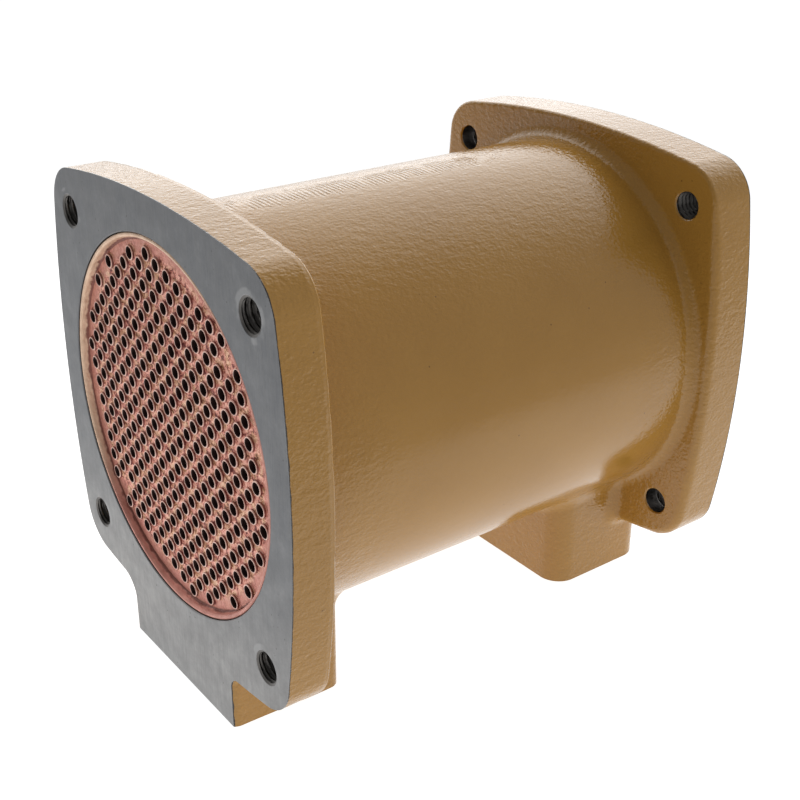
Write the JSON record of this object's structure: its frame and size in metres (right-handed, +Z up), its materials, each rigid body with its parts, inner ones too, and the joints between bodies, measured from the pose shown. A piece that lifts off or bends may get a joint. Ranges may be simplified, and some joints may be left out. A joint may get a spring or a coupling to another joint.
{
  "type": "hydraulic oil cooler",
  "caption": "Shell-and-tube oil cooler: painted cast housing with square end flanges and port pads below, around a copper tube bundle that carries water past the oil",
  "frame": {"origin": "centre of the housing's footprint, on the plane of the two machined port pads", "axes": "+Y runs along the barrel from the front flange to the rear flange, +X is to the right seen from the front, +Z is up, away from the port pads"},
  "size_m": [0.1446, 0.182, 0.1666],
  "materials": {
    "housing_paint": "glossy ochre paint over a fine cast texture, with machined faces left bare",
    "tube_sheet_copper": "bare copper, pressed and soldered, slightly mottled",
    "tube_copper": "bare copper tube",
    "core_steel": "bare steel plate and rod"
  },
  "bodies": {
    "root": {"housing": "housing_paint", "tube_sheet_front": "tube_sheet_copper", "tube_sheet_rear": "tube_sheet_copper", "tube_row_01": "tube_copper", "tube_row_02": "tube_copper", "tube_row_03": "tube_copper", "tube_row_04": "tube_copper", "tube_row_05": "tube_copper", "tube_row_06": "tube_copper", "tube_row_07": "tube_copper", "tube_row_08": "tube_copper", "tube_row_09": "tube_copper", "tube_row_10": "tube_copper", "tube_row_11": "tube_copper", "tube_row_12": "tube_copper", "tube_row_13": "tube_copper", "tube_row_14": "tube_copper", "tube_row_15": "tube_copper", "tube_row_16": "tube_copper", "tube_row_17": "tube_copper", "tube_row_18": "tube_copper", "tube_row_19": "tube_copper", "tube_row_20": "tube_copper", "tube_row_21": "tube_copper", "baffle_1": "core_steel", "baffle_2": "core_steel", "baffle_3": "core_steel", "baffle_4": "core_steel", "baffle_5": "core_steel", "tie_rod_upper": "core_steel", "tie_rod_lower": "core_steel"}
  },
  "joints": []
}
